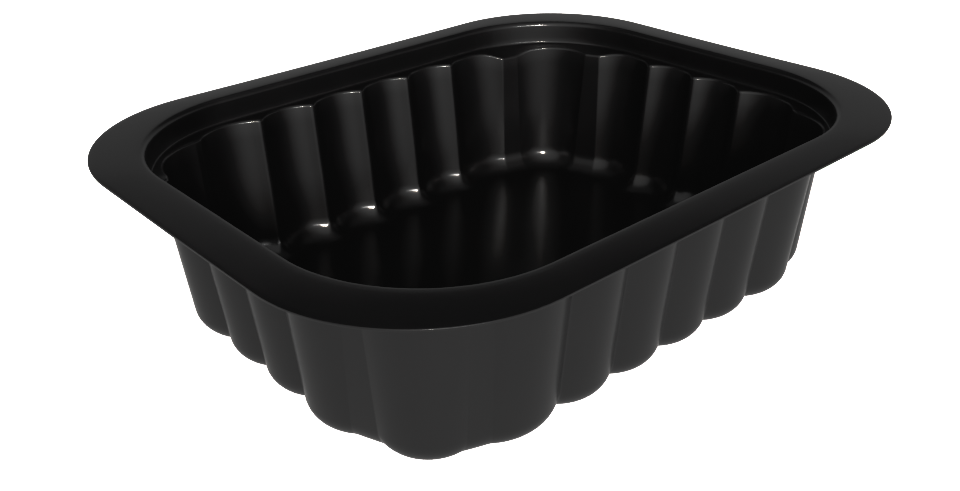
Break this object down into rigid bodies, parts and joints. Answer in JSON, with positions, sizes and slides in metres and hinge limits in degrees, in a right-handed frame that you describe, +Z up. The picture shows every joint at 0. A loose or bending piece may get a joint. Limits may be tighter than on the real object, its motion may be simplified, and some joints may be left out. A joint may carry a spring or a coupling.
{
  "type": "plastic food container",
  "caption": "Empty black food tray, thermoformed in one piece: fluted walls, flat floor and a wide flat rim, for ready meals and groceries.",
  "frame": {"origin": "middle of the underside, on the surface that the tray stands on", "axes": "X along the long side, Y along the short side, +Z up out of the mouth"},
  "size_m": [0.227, 0.178, 0.059],
  "materials": {
    "black_plastic": "gloss"
  },
  "bodies": {
    "root": {"tray": "black_plastic"}
  },
  "joints": []
}
